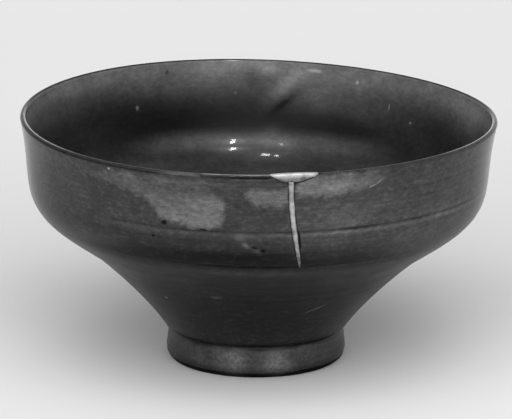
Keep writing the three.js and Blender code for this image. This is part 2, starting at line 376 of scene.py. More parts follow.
class Painter:
    """Places the shader nodes of one material or of the world, and joins them up."""

    def __init__(self, owner: Material | bpy.types.World, surface: str = "Principled BSDF") -> None:
        """Starts with the owner's own surface shader.

        Args:
            owner: The material or the world.
            surface: Name of its surface shader.
        """
        owner.use_nodes = True
        self.owner, self.tree = owner, owner.node_tree
        self.surface = self.tree.nodes[surface]

    def feed(self, socket: Socket, value: object) -> None:
        """Joins an output to a socket, or sets a plain value on it.

        Args:
            socket: The input.
            value: An output, or a plain value.
        """
        if isinstance(value, Socket):
            self.tree.links.new(value, socket)
        else:
            socket.default_value = value

    def node(self, kind: str, inputs: dict[int | str, object], **settings: object) -> bpy.types.Node:
        """A new node.

        Args:
            kind: Its type.
            inputs: Values or outputs for its sockets, by number or name.
            settings: Its other settings.

        Returns:
            The node.
        """
        made = self.tree.nodes.new(kind)
        for key, value in settings.items():
            setattr(made, key, value)
        for key, value in inputs.items():
            self.feed(made.inputs[key], value)
        return made

    def stored(self, name: str, output: str = "Fac") -> Socket:
        """What the mesh stores for each point under a name."""
        return self.node("ShaderNodeAttribute", {}, attribute_name=name).outputs[output]

    def objects(self) -> Socket:
        """The place on the object, in metres."""
        return self.node("ShaderNodeTexCoord", {}).outputs["Object"]

    def worked(self, operation: str, *values: object) -> Socket:
        """The result of one arithmetic step on numbers or outputs."""
        return self.node("ShaderNodeMath", dict(enumerate(values)), operation=operation).outputs[0]

    def added(self, *values: object) -> Socket:
        """The sum of two numbers or outputs."""
        return self.worked("ADD", *values)

    def times(self, *values: object) -> Socket:
        """The product of two numbers or outputs."""
        return self.worked("MULTIPLY", *values)

    def span(self, value: object, start: Pair, end: Pair = UNIT, smooth: bool = False) -> Socket:
        """Carries a number from one range to another, held at its ends.

        Args:
            value: The number or output to carry.
            start: The range that it comes from.
            end: The range that it goes to.
            smooth: Whether it follows an S between the ends.

        Returns:
            The carried number.
        """
        ends = dict(zip(("From Min", "From Max", "To Min", "To Max"), (*start, *end)))
        kind = "SMOOTHSTEP" if smooth else "LINEAR"
        return self.node("ShaderNodeMapRange", {"Value": value, **ends}, interpolation_type=kind).outputs[0]

    def varied(self, tone: Socket, pattern: Socket, start: Pair, amount: float) -> Socket:
        """A tone that a pattern makes darker and paler by up to a share of it."""
        return self.times(tone, self.span(pattern, start, (1 - amount, 1 + amount)))

    def between(self, share: Socket, low: object, high: object) -> Socket:
        """A number between two others, by a share from 0 to 1."""
        return self.node("ShaderNodeMix", {0: share, 2: low, 3: high}, data_type="FLOAT").outputs[0]

    def grain(self, height: Socket, depth: float) -> Socket:
        """A normal that is tilted as a relief of this height and depth in metres would tilt it."""
        relief = {"Distance": depth, "Strength": 1.0, "Height": height}
        return self.node("ShaderNodeBump", relief).outputs[0]

    def finish(self, **inputs: object) -> Material:
        """Feeds the surface shader's sockets, by name with underscores for spaces.

        Args:
            inputs: Values or outputs for its sockets.

        Returns:
            The material or the world.
        """
        for key, value in inputs.items():
            self.feed(self.surface.inputs[key.replace("_", " ")], value)
        return self.owner


@dataclass(frozen=True)
class Pattern:
    """A cloudy pattern: its scale, its detail and roughness, and how its place is scaled first."""

    scale: float
    detail: float = 4
    rough: float = 0.6
    first: Trio | None = None

    def on(self, p: Painter, place: Socket) -> Socket:
        """The pattern at a place, from about 0 to 1.

        Args:
            p: The painter of the material.
            place: The place to look the pattern up at.

        Returns:
            The pattern's number.
        """
        if self.first:
            place = p.node("ShaderNodeMapping", {"Vector": place, "Scale": self.first}).outputs[0]
        noise = {"Vector": place, "Scale": self.scale, "Detail": self.detail, "Roughness": self.rough}
        return p.node("ShaderNodeTexNoise", noise).outputs["Fac"]


@dataclass(frozen=True)
class Mark:
    """A small spot or short streak on the glaze: where it is, how large, how it leans and its shade.

    It has its full shade within the share `full` of its outline, and a blurred spot has less than none.
    """

    azimuth: float
    height: float
    half_length: float
    half_width: float
    slope: float
    shade: float
    full: float = 0.35

    def share(self, p: Painter, place: Socket, radius: float, ragged: Socket) -> Socket:
        """How strongly the mark shows: 1 in its middle, falling to 0 at its outline.

        The place is moved, turned and scaled so that the mark's outline is a ball of radius 1, and the
        share falls with the distance from its middle, which a pattern makes longer or shorter.

        Args:
            p: The material's painter.
            place: The thrown place of the surface, in millimetres.
            radius: The wall's radius at the mark's height.
            ragged: What is added to the distance.

        Returns:
            The share.
        """
        angle = math.radians(self.azimuth)
        lean = Matrix.Rotation(angle, 3, "Z") @ Matrix.Rotation(-math.radians(self.slope), 3, "Y")
        ball = p.node("ShaderNodeMapping", {
            "Vector": place,
            "Location": (radius * math.sin(angle), -radius * math.cos(angle), self.height),
            "Rotation": lean.to_euler(),
            "Scale": (self.half_length, 3.0, self.half_width),
        }, vector_type="TEXTURE")
        length = p.node("ShaderNodeVectorMath", {0: ball.outputs[0]}, operation="LENGTH").outputs["Value"]
        return p.span(p.added(length, ragged), (1.1, self.full), smooth=True)


@dataclass(frozen=True)
class DarkGlaze:
    """Satin dark glaze: streaked along the wheel's turn, mottled, with paler pools on the shoulder that are
    partly painted reflections.
    """

    name: str = "dark glaze"
    level: float = 0.125
    coat: float = 0.0
    pale: float = 0.15
    streaks: float = 0.22
    mottle: float = 0.22
    grit: float = 0.4
    speckle: float = 0.02
    gloss: Pair = (0.85, 1.15)
    relief: float = 0.00003
    rings: Pattern = Pattern(1.0, 4, 0.62, (0.012, 0.012, 1.1))
    blotches: Pattern = Pattern(0.16)
    specks: Pattern = Pattern(0.9, 4, 0.68, (0.6, 0.6, 1.1))
    pool_waver: Pair = (-0.7, 0.7)
    raggedness: Pair = (-0.35, 0.35)
    pool_edge: Pair = (-0.9, 1.3)
    palest_specks: Pair = (0.54, 0.74)
    gap: Pair = (0.6, 0.1)

    def material(self, marks: Sequence[Mark], wall: Array) -> Material:
        """Makes the glaze.

        Args:
            marks: Small spots and streaks to set into it.
            wall: Points of the face that it covers, upwards.

        Returns:
            The material.
        """
        p = Painter(bpy.data.materials.new(self.name))
        place = p.stored("thrown_place", "Vector")
        rings, blotches, specks = (noise.on(p, place) for noise in (self.rings, self.blotches, self.specks))
        ragged = p.span(specks, MIDDLE, self.raggedness)
        # the paler pools, partly painted reflections of two windows
        edge = p.added(p.added(p.stored("pale_depth"), p.span(blotches, MOST, self.pool_waver)), ragged)
        pool = p.times(p.span(edge, self.pool_edge, smooth=True), p.stored("pale_share"))
        tone = p.between(pool, p.stored("glaze_shade"), self.pale)
        tone = p.varied(tone, rings, MOST, self.streaks)
        tone = p.varied(tone, blotches, MIDDLE, self.mottle)
        tone = p.varied(tone, specks, MOST, self.grit)
        tone = p.added(tone, p.span(specks, self.palest_specks, (0.0, self.speckle)))
        # painted shade in the narrow gaps along the lacquer: the glaze goes dark there, in broken stretches
        broken = p.span(blotches, (0.4, 0.6), (0.4, 1.0), smooth=True)
        tone = p.between(p.times(p.span(p.stored("mend_gap"), self.gap, smooth=True), broken), tone, 0.0)
        for mark in marks:
            radius = float(np.interp(mark.height, wall[:, 1], wall[:, 0]))
            tone = p.between(mark.share(p, place, radius, ragged), tone, mark.shade)
        cloudy = p.added(p.times(blotches, 0.6), p.times(rings, 0.4))
        height = p.added(p.times(rings, 0.38), p.times(specks, 0.6))
        return p.finish(
            Base_Color=tone, Roughness=p.times(p.stored("glaze_rough"), p.span(cloudy, MIDDLE, self.gloss)),
            Normal=p.grain(height, self.relief), IOR=GLASS, Specular_IOR_Level=self.level,
            Coat_Weight=self.coat, Coat_Roughness=0.05)


@dataclass(frozen=True)
class FootWash:
    """Thin satin wash on the turned foot, and a dull kind for the edge that it stands on, dark there with
    painted shade.
    """

    name: str = "foot wash"
    level: float = 0.3
    gloss: Pair = (0.3, 0.46)
    relief: float = 0.00004
    rings: Pattern = Pattern(1.0, 4, 0.6, (0.03, 0.03, 1.6))
    blotches: Pattern = Pattern(0.22)
    specks: Pattern = Pattern(1.1, 3, 0.65)
    mottle: Trio = (0.1, 0.32, 0.42)  # by rings, blotches and specks

    def material(self) -> Material:
        """Makes the wash.

        Returns:
            The material.
        """
        p = Painter(bpy.data.materials.new(self.name))
        place = p.stored("thrown_place", "Vector")
        tone = p.stored("glaze_shade")
        patterns = [noise.on(p, place) for noise in (self.rings, self.blotches, self.specks)]
        for pattern, start, amount in zip(patterns, (MOST, MIDDLE, MIDDLE), self.mottle):
            tone = p.varied(tone, pattern, start, amount)
        height = p.added(p.times(patterns[0], 0.8), p.times(patterns[2], 0.3))
        return p.finish(Base_Color=tone, Roughness=p.span(patterns[1], MIDDLE, self.gloss),
                        Normal=p.grain(height, self.relief), IOR=GLASS, Specular_IOR_Level=self.level)


@dataclass(frozen=True)
class Lacquer:
    """Pale lacquer dusted with metal powder, rubbed unevenly, duller where it was worn, and with painted
    highlight and shade.
    """

    name: str
    bright: float
    dull: float
    metal: float = 0.15
    gloss: Pair = (0.5, 0.32)
    relief: float = 0.00005
    rubbed: Pattern = Pattern(620)
    powder: Pattern = Pattern(2600, 2, 0.7)
    wear: Pair = (-0.45, 0.45)
    dusting: float = 0.24

    def material(self) -> Material:
        """Makes the lacquer.

        Returns:
            The material.
        """
        p = Painter(bpy.data.materials.new(self.name))
        place = p.objects()
        rubbed, powder = (noise.on(p, place) for noise in (self.rubbed, self.powder))
        # the stored share holds both wear and painted highlight and shade
        left = p.added(p.stored("lacquer_wear_and_sheen"), p.span(rubbed, MIDDLE, self.wear))
        tone = p.varied(p.between(p.span(left, UNIT), self.dull, self.bright), powder, MOST, self.dusting)
        return p.finish(Base_Color=tone, Roughness=p.span(rubbed, MIDDLE, self.gloss),
                        Normal=p.grain(powder, self.relief), Metallic=self.metal)


def dress(made: Thing, values: dict[str, Array], *materials: Material) -> None:
    """Gives a piece its materials and what they read point by point.

    Args:
        made: The piece.
        values: Numbers, or rows of three, in the order of the points, under the names that are read.
        materials: The materials, in the order of their slots.
    """
    for name, each in values.items():
        kind, key = ("FLOAT_VECTOR", "vector") if each.ndim == 2 else ("FLOAT", "value")
        layer = made.data.attributes.new(name, kind, "POINT")
        layer.data.foreach_set(key, each.astype(np.float32).ravel())
    for material in materials:
        made.data.materials.append(material)


def share_out(made: Thing, second: Array) -> None:
    """Gives the second material to the faces that are marked, and keeps sharp edges sharp."""
    made.data.polygons.foreach_set("material_index", second.astype(np.int32))
    made.data.set_sharp_from_angle(angle=SHARP)


def placed_on(made: Thing, node: str) -> Thing:
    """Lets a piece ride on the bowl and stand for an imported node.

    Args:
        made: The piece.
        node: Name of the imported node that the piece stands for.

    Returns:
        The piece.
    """
    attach(made, "root")
    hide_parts(node)
    LOG.info("%s: %d points, %d faces", made.name, len(made.data.vertices), len(made.data.polygons))
    return made


# The thrown body


class Face(Enum):
    """Which face of the body a row of its profile belongs to."""

    UNDERSIDE = 0
    OUTER = 1
    LIP = 2
    INNER = 3


@dataclass(frozen=True)
class Sheet:
    """Rows of a turned profile, and the azimuths in radians that they are turned to."""

    points: Array
    square: Array
    face: Array
    azimuth: Array

    @property
    def height(self) -> Array:
        """The thrown height of every point, shaped (rows, columns)."""
        return self.points[:, 1:] + np.zeros_like(self.azimuth)

    @property
    def turn(self) -> Array:
        """The azimuth of each column in degrees, below 0 on the left."""
        return signed(np.degrees(self.azimuth))

    def on(self, *faces: Face) -> Array:
        """Whether each row lies on one of the faces, as a column."""
        return np.isin(self.face, [face.value for face in faces])[:, None]


@dataclass(frozen=True)
class WallForm:
    """The thrown wall's curves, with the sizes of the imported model."""

    height: float = 68.965
    rim: float = 66.0
    lip: float = 1.7
    seat: float = 9.0
    seat_radius: float = 24.3
    waist: Station = Station(25.3, 9.6, 0.66)
    shelf_under: Station = Station(46.7, 31.9, 1.22)
    shelf_over: Station = Station(46.7, 31.9, 1.43)
    hip: Station = Station(63.6, 49.4, 0.18)
    lip_lean: float = 0.22
    outer_pulls: Sequence[Pair] = ((0.28, 0.27), (0.49, 0.33), (0.25, 0.41))
    inner_lip_lean: float = 0.34
    inner_hip_lean: float = 0.38
    inner_shelf_lean: float = 1.28
    inner_pulls: Sequence[Pair] = ((0.38, 0.36), (0.4, 0.35), (0.3, 0.3))
    hip_wall: float = 4.8
    lower_wall: float = 5.3
    floor: float = 13.5
    spigot: float = 7.2
    spigot_radius: float = 17.6
    recess: float = 0.5

    def outer(self) -> Array:
        """The outer face from the waist up to the lip.

        Returns:
            Points of radius and height.
        """
        lip = Station(self.rim, self.height - self.lip / 2, self.lip_lean)
        spans = ((self.waist, self.shelf_under), (self.shelf_over, self.hip), (self.hip, lip))
        return bends(spans, self.outer_pulls)

    def rounding(self) -> Array:
        """The rounded top of the lip: half a circle from its outer to its inner side.

        Returns:
            Points of radius and height.
        """
        angle = np.linspace(0, math.pi, 61)
        middle = (self.rim - self.lip / 2, self.height - self.lip / 2)
        return np.array(middle) + self.lip / 2 * np.column_stack([np.cos(angle), np.sin(angle)])

    def inner(self) -> Array:
        """The inner face from the lip down to the middle of the well.

        Returns:
            Points of radius and height.
        """
        under = Station(self.shelf_under.radius, self.shelf_under.height, self.inner_shelf_lean)
        shelf = under.behind(self.lower_wall, self.inner_shelf_lean)
        hip = self.hip.behind(self.hip_wall, self.inner_hip_lean)
        lip = Station(self.rim - self.lip, self.height - self.lip / 2, self.inner_lip_lean)
        spans = ((Station(0, self.floor, math.inf), shelf), (shelf, hip), (hip, lip))
        return bends(spans, self.inner_pulls)[::-1]

    def underside(self) -> Array:
        """The underside inside the foot ring and the flat seat, out to the waist.

        Returns:
            Points of radius and height.
        """
        t = np.linspace(0, 1, 60)
        hollow = np.column_stack([self.spigot_radius * t, self.spigot + self.recess * (1 - t**2)])
        seat = [(self.spigot_radius, self.seat), (self.seat_radius, self.seat)]
        return np.vstack([hollow, seat, self.waist.point()])


@dataclass(frozen=True)
class Threads:
    """Shallow spiral threads on a stretch of heights.

    Each has half its depth, its pitch, how many times it climbs by that pitch in a turn, and its start.
    """

    rows: Sequence[Sequence[float]]
    heights: Stretch = ((-1, 0), (100, 99))

    def depth(self, height: Array, azimuth: Array) -> Array:
        """Half of each depth times 1 plus a sine of height over pitch, climb times azimuth and start.

        Args:
            height: Thrown heights.
            azimuth: Azimuths in radians.

        Returns:
            The depths.
        """
        deep = sum(half * (1 + np.sin(TURN * height / pitch + climb * azimuth + start))
                   for half, pitch, climb, start in self.rows)
        return deep * stretch(*self.heights, height)


@dataclass(frozen=True)
class TurnedLines:
    """Relief that the tool and the fingers left in the wall, in millimetres and degrees."""

    lines: Sequence[Bell] = each(
        Bell, (52.7, 0.42, 0.2), (56.2, 0.4, 0.035), (58.8, 0.36, 0.03), (61.6, 0.4, 0.04), (64.4, 0.3, 0.02),
        (46.6, 0.4, 0.03), (35.8, 0.6, 0.01), (27.3, 0.6, 0.01), (18.9, 0.5, 0.01))
    scored: Stretch = ((-52, -24), (76, 46))
    lip_line: Bell = Bell(67.85, 0.25, 0.42)
    lip_scored: Stretch = ((-13.3, -12.3), (3.2, 2.2))
    lip_deeper: Pair = (-8, -4.5)
    ripples: Threads = Threads(((0.01, 2.9, -1, 0), (0.006, 4.7, 1, 1.0)), ((10.0, 13.0), (67.4, 64.5)))
    rings: Threads = Threads(((0.03, 3.3, 1, 0), (0.05, 7.9, -1, 0)), ((13.6, 18), (66.5, 62)))
    lobes: Threads = Threads(
        ((0.05, math.inf, 3, 0.4 + math.pi), (0.05, math.inf, 5, 2.0 + math.pi)), ((11, 30), (67, 60)))
    ledge: float = 41.4
    ledge_depth: float = 0.5
    ledge_above: float = 6.0
    ledge_below: float = 1.9
    ledge_reach: Pair = (60.0, 30.0)
    ledge_dip: Bell = Bell(0, 18.0, 0.55)
    ledge_rows: Pair = (-0.25, 0.7)  # where the rows lie close, and how widely
    crease: Bell = Bell(0.55, 0.55, 0.42)  # above the ledge
    crease_turn: Bell = Bell(-2, 13)

    def as_level(self, height: Array, turn: Array) -> Array:
        """Heights as they would be if the ledge ran level: it dips by a bell of the turn at the front."""
        return height + self.ledge_dip.at(turn) * stretch((35, 38), (46, 43), height)

    def outer(self, height: Array, azimuth: Array) -> Array:
        """How deep the outer relief is: a bell for each scored line, a shallow ripple and broad lobes.

        The ledge where the trimming began is undercut on the front: the wall falls back slowly down to
        it and comes out again quickly below it, and a crease runs along it.

        Args:
            height: Thrown heights.
            azimuth: Azimuths in radians, of a shape that combines with the heights.

        Returns:
            The depths.
        """
        turn = signed(np.degrees(azimuth))
        right = stretch(*self.scored, turn)
        total = sum(line.at(height) for line in self.lines) * right
        over = self.as_level(height, turn) - self.ledge
        above = soft_step(self.ledge_above, 0, over) * (over >= 0)
        below = soft_step(-self.ledge_below, 0, over) * (over < 0)
        total += self.ledge_depth * soft_step(*self.ledge_reach, np.abs(turn)) * (above + below)
        total += self.crease.at(over) * self.crease_turn.at(turn)
        front = stretch(*self.lip_scored, turn) * lifted(0.4, soft_step(*self.lip_deeper, turn))
        total += self.lip_line.at(height) * front
        calm = lifted(0.3, soft_step(38, 46, height) * lifted(0.4, right))
        total += self.ripples.depth(height, azimuth) * calm
        return total + self.lobes.depth(height, azimuth)


@dataclass(frozen=True)
class Mend:
    """Where the chip and the crack are, on a flat sheet held square to the mended side."""

    azimuth: float = 8.2
    top: float = 69.0
    chip_half: float = 6.6
    chip_depth: float = 2.0
    clearance: float = 0.3
    outline: Sequence[Pair] = (
        (-1, 0), (-0.74, 0.36), (-0.54, 0.8), (-0.16, 1), (0.26, 0.96), (0.56, 0.64), (0.82, 0.32), (1, 0),
    )
    crack_top: float = -0.72
    crack_end: float = 2.8
    crack_bow: Pair = (0.05, 0.43)
    outer_fall: float = 24.8
    inner_fall: float = 20.2
    seam_half: float = 0.68
    taper: float = 0.65
    taper_power: float = 4.0

    def chip_edge(self, across: Array, room: float = 0.0) -> Array:
        """Height of the chip's lower edge, at distances sideways from its middle.

        Args:
            across: Sideways distances.
            room: How much wider and deeper than the chip the edge is taken.

        Returns:
            Heights, which are the lip's height outside the chip.
        """
        knots = np.array(self.outline) * [self.chip_half + 2 * room, self.chip_depth + room]
        fine = smooth_run(knots, 200)
        return self.top - np.interp(across, fine[:, 0], fine[:, 1], left=0.0, right=0.0)

    def crack_path(self, fall: float, count: int) -> Array:
        """Middle line of the crack from the chip down.

        Args:
            fall: Height from the chip to the crack's end.
            count: How many points to return.

        Returns:
            Points of sideways distance and height.
        """
        top = self.top - self.chip_depth - self.clearance
        aside = self.crack_top + self.crack_bow[0] * (self.crack_end - self.crack_top)
        corner = (aside, top - self.crack_bow[1] * fall)
        return bow((self.crack_top, top), corner, (self.crack_end, top - fall), count)

    def crack_half(self, share: Array) -> Array:
        """Half the seam's width at shares of the crack's length, narrowing late."""
        return self.seam_half * (1 - self.taper * share**self.taper_power)

    def lay(self, across: Array, radius: Array, height: Array) -> Array:
        """Points at sideways distances from the mend's middle, laid on a wall of a radius at a height."""
        azimuth = math.radians(self.azimuth) + np.arcsin(np.clip(across / radius, -1, 1))
        return turned(radius, height, azimuth)


@dataclass(frozen=True)
class PalePoolAndReflection:
    """A paler pool in the glaze, partly a painted reflection of a window: its corners as azimuth and height,
    and how strong it is.

    It may fade to one side, down to its least share, and at the top, where it isn't at its far end.
    """

    corners: Sequence[Pair]
    strength: float
    side: Pair = UNIT
    side_least: float = 1.0
    top: Pair = UNIT
    top_least: float = 1.0
    far_end: Pair = (-24, -31)
    radius: float = 65.0

    def depth(self, turn: Array, height: Array) -> Array:
        """How deep points lie inside the pool, in millimetres on the wall.

        Args:
            turn: Azimuths in degrees.
            height: Thrown heights.

        Returns:
            The depths, below 0 outside it.
        """
        points = np.stack(np.broadcast_arrays(turn, height), axis=-1)
        scale = [math.radians(self.radius), 1]
        return depth_inside(points * scale, np.array(self.corners) * scale)

    def share(self, turn: Array, height: Array) -> Array:
        """How strong the pool is at each point.

        Args:
            turn: Azimuths in degrees.
            height: Thrown heights.

        Returns:
            Shares from 0 to 1.
        """
        side = lifted(self.side_least, soft_step(*self.side, turn))
        top = lifted(self.top_least, soft_step(*self.top, height))
        return self.strength * side * np.maximum(top, soft_step(*self.far_end, turn))


@dataclass(frozen=True)
class ShadeTable:
    """How pale a glazed face is at a few heights, and evenly between them."""

    heights: Sequence[float]
    shades: Sequence[float]

    def at(self, height: Array) -> Array:
        """The shade at each height."""
        return np.interp(height, self.heights, self.shades)


@dataclass(frozen=True)
class Cloud:
    """A soft paler or darker stretch of glaze: its middle, its spreads and how much shade it adds.

    Its slope is how much its middle rises for each degree to the right.
    """

    azimuth: float
    height: float
    spread: float
    rise: float
    shade: float
    slope: float = 0.0

    def at(self, turn: Array, height: Array) -> Array:
        """The added shade: a bell of the azimuth's and of the height's distance from the middle.

        Args:
            turn: Azimuths in degrees.
            height: Thrown heights.

        Returns:
            What it adds.
        """
        off = signed(turn - self.azimuth)
        level = height - self.slope * off
        return self.shade * ridge(0, self.spread, off) * ridge(self.height, self.rise, level)


@dataclass(frozen=True)
class OuterTone:
    """How pale the outer face is: by height, with painted shade under the hip and at the foot's join, soft
    clouds, and darker along the scored lines.
    """

    # painted shade: darkest from the ledge up under the hip, and at 9 mm where the foot meets the body; a
    # painted highlight runs just below the ledge
    table: ShadeTable = ShadeTable(
        (9, 9.9, 10.5, 12, 16, 20, 26, 34, 37, 39, 40.7, 41.1, 41.5, 44, 45.5, 46.5, 48, 50, 52, 66, 68.2),
        (0.0, 0.002, 0.017, 0.016, 0.009, 0.005, 0.002, 0.002, 0.002, 0.005, 0.012, 0.011, 0.0, 0.0, 0.004,
         0.011, 0.021, 0.03, 0.04, 0.046, 0.044))
    # the clouds near 40 to 47 mm shape that painted shade and highlight, and those at 9.3 mm fade the painted
    # shade at the seat
    clouds: Sequence[Cloud] = each(
        Cloud, (19, 56, 11, 9, 0.036), (46, 50, 20, 8, 0.024), (2, 45.3, 16, 1.5, -0.007),
        (-20, 66.4, 12, 0.9, 0.035), (-46, 45.8, 11, 2.3, 0.026), (42, 46.5, 10, 1.9, 0.028),
        (40, 43.4, 9, 1.7, 0.022), (13, 44.9, 17, 0.9, 0.008), (-2, 39.7, 17, 0.7, 0.016),
        (-74, 9.3, 20, 1.0, 0.008), (74, 9.3, 20, 1.0, 0.02))
    seen: Stretch = ((-50, -24), (96, 66))
    score: float = 52.75
    score_right: Pair = (4, 18)
    score_widths: Pair = (0.24, 0.4)
    score_strengths: Pair = (0.6, 0.8)
    lines: Sequence[Bell] = each(
        Bell, (56.2, 0.3, 0.3), (58.8, 0.3, 0.25), (61.6, 0.3, 0.35), (54.6, 0.3, 0.2), (64.3, 0.3, 0.2))
    lines_right: Pair = (-10, 14)
    darkest: float = 0.8
    # painted highlight along the lower edge of the deepest scored line
    light: Bell = Bell(51.9, 0.35, 0.6)

    def at(self, sheet: Sheet, level: Array) -> Array:
        """The tone of each point.

        Args:
            sheet: The body's rows and columns.
            level: Heights as they would be if the ledge ran level.

        Returns:
            Shades from 0 up.
        """
        turn, height, azimuth = sheet.turn, sheet.height, sheet.azimuth
        tone = self.table.at(level) + sum(cloud.at(turn, level) for cloud in self.clouds)
        share = soft_step(*self.score_right, turn)
        wide, strong = (np.interp(share, UNIT, ends) for ends in (self.score_widths, self.score_strengths))
        dark = ridge(self.score, wide, height) * strong * uneven(0.5, 19 * azimuth)
        right = soft_step(*self.lines_right, turn)
        for line in self.lines:
            patchy = uneven(0, 7 * azimuth + line.middle, 17 * azimuth + 3 * line.middle)
            dark = dark + line.at(height) * patchy * right
        seen = stretch(*self.seen, turn)
        # painted highlight under the deepest scored line
        edge = 1 + self.light.at(height) * seen
        return np.maximum(tone, 0) * (1 - np.clip(dark * seen, 0, self.darkest)) * edge


@dataclass(frozen=True)
class InnerTone:
    """How pale the inner face is: one table at the back, another beside it, soft clouds, and a painted
    reflection below the hip.
    """

    # painted reflection: the back table's pale band from 45.5 to 48.6 mm, just below the inner hip, and the
    # clouds near 47 mm
    back: ShadeTable = ShadeTable(
        (13, 40, 42, 44, 45.5, 46.5, 48.6, 49.6, 51, 53, 55, 57, 59, 61, 62, 64, 66, 67.5),
        (0.026, 0.026, 0.028, 0.032, 0.052, 0.058, 0.05, 0.006, 0.003, 0.004, 0.011, 0.019, 0.031, 0.058,
         0.075, 0.1, 0.115, 0.13))
    side: ShadeTable = ShadeTable(
        (13, 38, 42, 44, 46, 50, 52, 54, 56, 58, 60, 61, 62, 63, 64, 65, 67),
        (0.026, 0.03, 0.05, 0.03, 0.017, 0.018, 0.022, 0.025, 0.029, 0.034, 0.045, 0.057, 0.068, 0.084, 0.1,
         0.125, 0.15))
    beside: Pair = (160, 134)
    clouds: Sequence[Cloud] = each(
        Cloud, (-177, 67.8, 15, 1.4, 0.085), (178, 66.3, 3, 1.7, 0.09), (172.5, 62.8, 4.2, 2.6, 0.12, -0.86),
        (-169, 65.6, 6, 2.4, 0.05), (-178.4, 64.2, 2.6, 2.8, -0.04), (172.3, 58, 3.2, 1.2, -0.045, -0.75),
        (166, 58.5, 5, 3, 0.015), (164, 60.5, 8, 5, 0.03), (-172, 62, 8, 3, 0.014), (-128, 63, 12, 4, -0.018),
        (122, 58, 10, 4, -0.012), (155, 65.5, 9, 2.5, 0.035), (152, 57.5, 12, 4, 0.022),
        (108, 64, 9, 5, 0.06), (178, 46.8, 8, 1.1, 0.055), (174, 46.2, 4.5, 1.6, 0.03),
        (-169, 47.0, 8.0, 1.3, 0.018), (176, 49.6, 2.4, 1.2, 0.025), (-157, 44.2, 12, 1.2, -0.012),
        (-138, 56, 14, 6, -0.014))

    def at(self, sheet: Sheet) -> Array:
        """The tone of each point, which can fall below 0.

        Args:
            sheet: The body's rows and columns.

        Returns:
            The tones.
        """
        turn, height = sheet.turn, sheet.height
        beside = soft_step(*self.beside, np.abs(turn))
        tone = self.back.at(height) * (1 - beside) + self.side.at(height) * beside
        return tone + sum(cloud.at(turn, height) for cloud in self.clouds)


@dataclass(frozen=True)
class LipTone:
    """How pale the lip is: darker outside, a worn patch, a bright front line, painted highlights at the sides
    and painted shade under it.

    A place on the lip is a distance in millimetres walked over it from its outer side.
    """

    left: Stretch = ((-124, -96), (-20, -26))
    right: Stretch = ((8, 30), (124, 96))
    front: Stretch = ((-13.3, -12.3), (3.2, 2))
    beside: Stretch = ((46, 58), (102, 80))
    back: Pair = (84, 110)
    edge: Trio = (0.02, 0.012, 0.024)  # everywhere, and added left and right
    worn: Bell = Bell(-18.5, 4.5, 0.09)
    crest: Pair = (0.7, 1.3)
    crest_shift: float = 0.35
    crest_shades: Pair = (0.03, 0.01)  # at the front and at the back
    inward: Pair = (1.5, 2.0)
    # painted shade in a line just under the lip, on the front and on the left
    dark_line: Bell = Bell(-0.1, 0.4)
    dark_front: float = 0.98
    dark_fuller: Pair = (-8, -4.5)
    dark_beside: float = 0.6
    left_line: Bell = Bell(-0.1, 0.25, 0.75)
    left_fuller: Pair = (-70, -56)
    front_line: Bell = Bell(1.05, 0.3, 0.42)
    # a painted highlight along the crest beside the front, on both sides
    crest_highlight: float = 1.45
    crest_highlight_strength: float = 0.5
    crest_highlight_widths: Pair = (0.25, 0.35)
    crest_highlight_wider: Pair = (76, 60)

    def lay(self, sheet: Sheet, shade: Array, inner: Array) -> Array:
        """The tone of every point of the body, with the lip's own tone and the lines beside it laid in.

        Args:
            sheet: The body's rows and columns.
            shade: The tone of the other faces.
            inner: The inner face's tone, taken on over the lip.

        Returns:
            The body's tone.
        """
        turn, run = sheet.turn, lengths(sheet.points)
        place = (run - run[sheet.on(Face.LIP)[:, 0]][0])[:, None]
        around, left = np.abs(turn), stretch(*self.left, turn)
        at_back, beside = soft_step(*self.back, around), stretch(*self.beside, around)
        front = stretch(*self.front, turn)
        crest = soft_step(*self.crest, place + self.crest_shift * left)
        edge = self.edge[0] + self.edge[1] * left + self.edge[2] * stretch(*self.right, turn)
        shine = np.interp(at_back, UNIT, self.crest_shades)
        lip = (1 - crest) * (edge + self.worn.at(turn)) + crest * shine
        lip = lip + soft_step(*self.inward, place) * at_back * inner
        shade = np.where(sheet.on(Face.LIP), lip, shade)
        # painted shade just under the lip
        dark = self.dark_front * front * lifted(0.5, soft_step(*self.dark_fuller, turn))
        dark = np.maximum(dark, self.dark_beside * beside * (turn < 0))
        shade = shade * (1 - self.dark_line.at(place) * dark)
        shade = shade * (1 - self.left_line.at(place) * left * soft_step(*self.left_fuller, turn))
        broken = uneven(0.5, 41 * sheet.azimuth, 17 * sheet.azimuth)
        # painted highlight along the crest at the sides
        wide = np.interp(soft_step(*self.crest_highlight_wider, around), UNIT, self.crest_highlight_widths)
        side = self.crest_highlight_strength * ridge(self.crest_highlight, wide, place) * beside
        return shade + self.front_line.at(place) * front * broken + side


@dataclass(frozen=True)
class Piece:
    """What every piece of the bowl shares: the wall's form, the mend, and how the bowl settled."""

    form: WallForm = WallForm()
    mend: Mend = Mend()
    settling: Settling = Settling()

    def skinned(self, name: str, true: Array, ends: Array | None = None) -> Thing:
        """Makes the piece's skin of a grid of points of the true bowl and its ends, all of them settled."""
        return skin(name, self.settling.apply(true), None if ends is None else self.settling.apply(ends))


